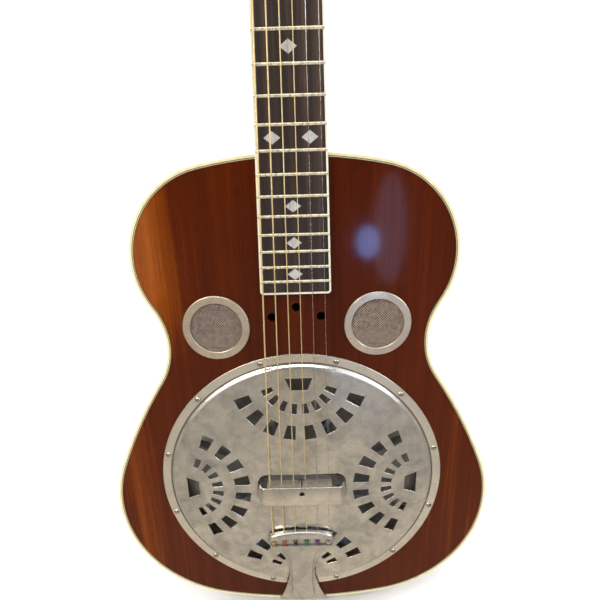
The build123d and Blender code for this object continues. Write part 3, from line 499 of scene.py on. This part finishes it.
def woven_screen(name, centre):
    """Plain-woven wire cloth, laid at 45 degrees."""
    points, faces = [], []
    count = int(mesh_radius / WIRE_PITCH)
    for warp in (True, False):
        for row in range(-count, count + 1):
            offset = row * WIRE_PITCH
            half = max(mesh_radius ** 2 - offset ** 2, 0) ** 0.5 - WIRE_RADIUS
            if half < WIRE_PITCH:
                continue
            steps = int(2 * half / (WIRE_PITCH / 2))
            path = []
            for n in range(steps + 1):
                along = -half + 2 * half * n / steps
                over = cos(pi * (along / WIRE_PITCH + row)) * (1 if warp else -1)
                a, b = (offset, along) if warp else (along, offset)
                x = (a - b) * 0.5 ** 0.5
                z = (a + b) * 0.5 ** 0.5
                path.append(Vector((centre + x, mesh_y - over * WIRE_WEAVE, mesh_z + z)))
            tube(points, faces, path, WIRE_RADIUS, 5, Vector((0, 1, 0)))
    return new_piece(name, points, faces, mesh_wire)


screens = [woven_screen("screen_bass", -mesh_x), woven_screen("screen_treble", mesh_x)]
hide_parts("screen_meshes")


TURNS = 4
TURN_STEPS = 20
POST_RADIUS = 0.0046
STRING_CLEARANCE = 0.00005
# How far from the centre line the strings reach their posts: the nearest row to the nut first
ROW_X = 0.0190
ROW_STEP = 0.003
STRING_RADII = {6: 0.00065, 5: 0.00053, 4: 0.00043, 3: 0.00032, 2: 0.00022, 1: 0.000165}
WOUND_FROM = 3


def string_turns(number, radius):
    """Turns of string round a post, where the string comes down to it."""
    centre = Vector(joints[f"post_{number}_turn"]["pos_m"])
    bass = number > 3
    row = 6 - number if bass else number - 1
    side = -1 if bass else 1
    x = side * (ROW_X - ROW_STEP * row)
    reach = POST_RADIUS + radius + STRING_CLEARANCE
    path = []
    for n in range(TURNS * TURN_STEPS + 1):
        angle = 2 * pi * n / TURN_STEPS
        shift = side * (n / TURN_STEPS - TURNS / 2) * radius * 2.1
        path.append(Vector((x + shift, centre.y + reach * cos(angle), centre.z + reach * sin(angle))))
    points, faces = [], []
    tube(points, faces, path, radius, 8, Vector((1, 0, 0)))
    wound = number >= WOUND_FROM
    finish = finishes["wound_strings"] if wound else plain_steel
    new_piece(f"string_turns_{number}", points, faces, finish, f"post_{number}")


for number, radius in STRING_RADII.items():
    string_turns(number, radius)


# Smooth shading on the CAD pieces

for piece in nodes.values():
    piece.data.polygons.foreach_set("use_smooth", [True] * len(piece.data.polygons))


# Stage, light and camera

def backdrop_paper():
    """Pale matt paper with the faintest cloudiness."""
    p = Paint("backdrop_paper")
    grain = p.noise(p.place, 3.0, 2)
    colour = (0.92, 0.92, 0.91)
    p.drive("Base Color", p.ramp(grain, (0.3, colour), (0.7, tuple(c * 1.01 for c in colour))))
    p.fixed(Roughness=0.9)
    return p.material


def backdrop():
    """A pale floor that curves up into a wall behind the guitar; mirrors don't see it."""
    floor_z = cad_low.z - 0.001
    wall_y = 1.3
    bend = 0.7
    steps = 16
    profile = [(-4.0, floor_z)]
    for n in range(steps + 1):
        angle = radians(90 * n / steps)
        profile.append((wall_y - bend + bend * sin(angle), floor_z + bend - bend * cos(angle)))
    profile.append((wall_y, floor_z + 4.5))
    points, faces = [], []
    for y, z in profile:
        points += [Vector((-5, y, z)), Vector((5, y, z))]
    for n in range(len(profile) - 1):
        faces.append((2 * n, 2 * n + 1, 2 * n + 3, 2 * n + 2))
    mesh = bpy.data.meshes.new("backdrop")
    mesh.from_pydata(points, [], faces)
    mesh.polygons.foreach_set("use_smooth", [True] * len(mesh.polygons))
    mesh.materials.append(backdrop_paper())
    sheet = bpy.data.objects.new("backdrop", mesh)
    bpy.context.scene.collection.objects.link(sheet)
    sheet.visible_glossy = False


def softbox(name, place, target, size, power, colour=(1, 1, 1), shape="RECTANGLE"):
    """A soft area light that faces a point; size is its width and height."""
    light = bpy.data.lights.new(name, "AREA")
    light.shape = shape
    light.size, light.size_y = size
    light.energy = power
    light.color = colour
    lamp = bpy.data.objects.new(name, light)
    bpy.context.scene.collection.objects.link(lamp)
    lamp.location = place
    lamp.rotation_euler = (Vector(target) - Vector(place)).to_track_quat("-Z", "Y").to_euler()


backdrop()
softbox("key", (-1.3, -1.5, 1.1), (0, 0, -0.5), (1.1, 1.1), 44, (1.0, 0.96, 0.90))
softbox("fill", (1.7, -1.3, 0.6), (0, 0, -0.5), (1.2, 1.2), 24, (0.94, 0.97, 1.0))
softbox("top", (0, -0.5, 2.0), (0, 0, -0.5), (1.8, 1.2), 26)
softbox("wall_left", (-1.6, 0.2, 0.6), (-0.6, 1.3, -0.4), (1.0, 1.0), 24)
softbox("wall_right", (1.6, 0.2, 0.6), (0.6, 1.3, -0.4), (1.0, 1.0), 24)

# Small dim lights, there for their reflections in the lacquer
softbox("window_right", (0.37, -1.3, -0.55), (0.08, 0, -0.38), (0.13, 0.44), 0.45,
        (0.50, 0.60, 1.0), "ELLIPSE")
softbox("lamp_right", (0.28, -1.3, -0.60), (0.06, 0, -0.40), (0.09, 0.13), 0.75,
        (0.16, 0.40, 1.0), "ELLIPSE")
softbox("window_left", (-0.66, -1.3, -0.58), (-0.13, 0, -0.38), (0.16, 0.6), 0.30,
        (1.0, 0.80, 0.6), "ELLIPSE")


ROOM_BELOW = (0.60, 0.51, 0.40)
ROOM_ABOVE = (0.09, 0.075, 0.06)
BACKGROUND = (0.95, 0.95, 0.95)


def studio_world():
    """White behind the guitar; a dim room, lighter below, for everything it reflects."""
    world = bpy.data.worlds.new("studio")
    bpy.context.scene.world = world
    world.use_nodes = True
    w = Nodes(world.node_tree)
    seen = w.add("ShaderNodeLightPath", {}).outputs["Is Camera Ray"]
    place = w.add("ShaderNodeTexCoord", {}).outputs["Generated"]
    split = w.add("ShaderNodeSeparateXYZ", {"Vector": place})
    room = w.ramp(w.spread(split.outputs["Z"], -0.72, 0.05), (0.0, ROOM_BELOW), (1.0, ROOM_ABOVE))
    dimmer = w.spread(w.maths("ABSOLUTE", split.outputs["X"]), 0.25, 0.85, 1.0, 0.3)
    background = w.tree.nodes["Background"]
    w.tree.links.new(w.mix(seen, room, BACKGROUND), background.inputs["Color"])
    w.tree.links.new(w.maths("MAXIMUM", seen, dimmer), background.inputs["Strength"])


studio_world()
bpy.context.scene.view_settings.view_transform = "Standard"

camera_data = bpy.data.cameras.new("camera")
camera_data.lens = 24.28
camera = bpy.data.objects.new("camera", camera_data)
camera.location = (0.00455, -0.3353, -0.3285)
camera.rotation_euler = (radians(72.69), radians(1.58), radians(-0.29))
bpy.context.scene.collection.objects.link(camera)
bpy.context.scene.camera = camera
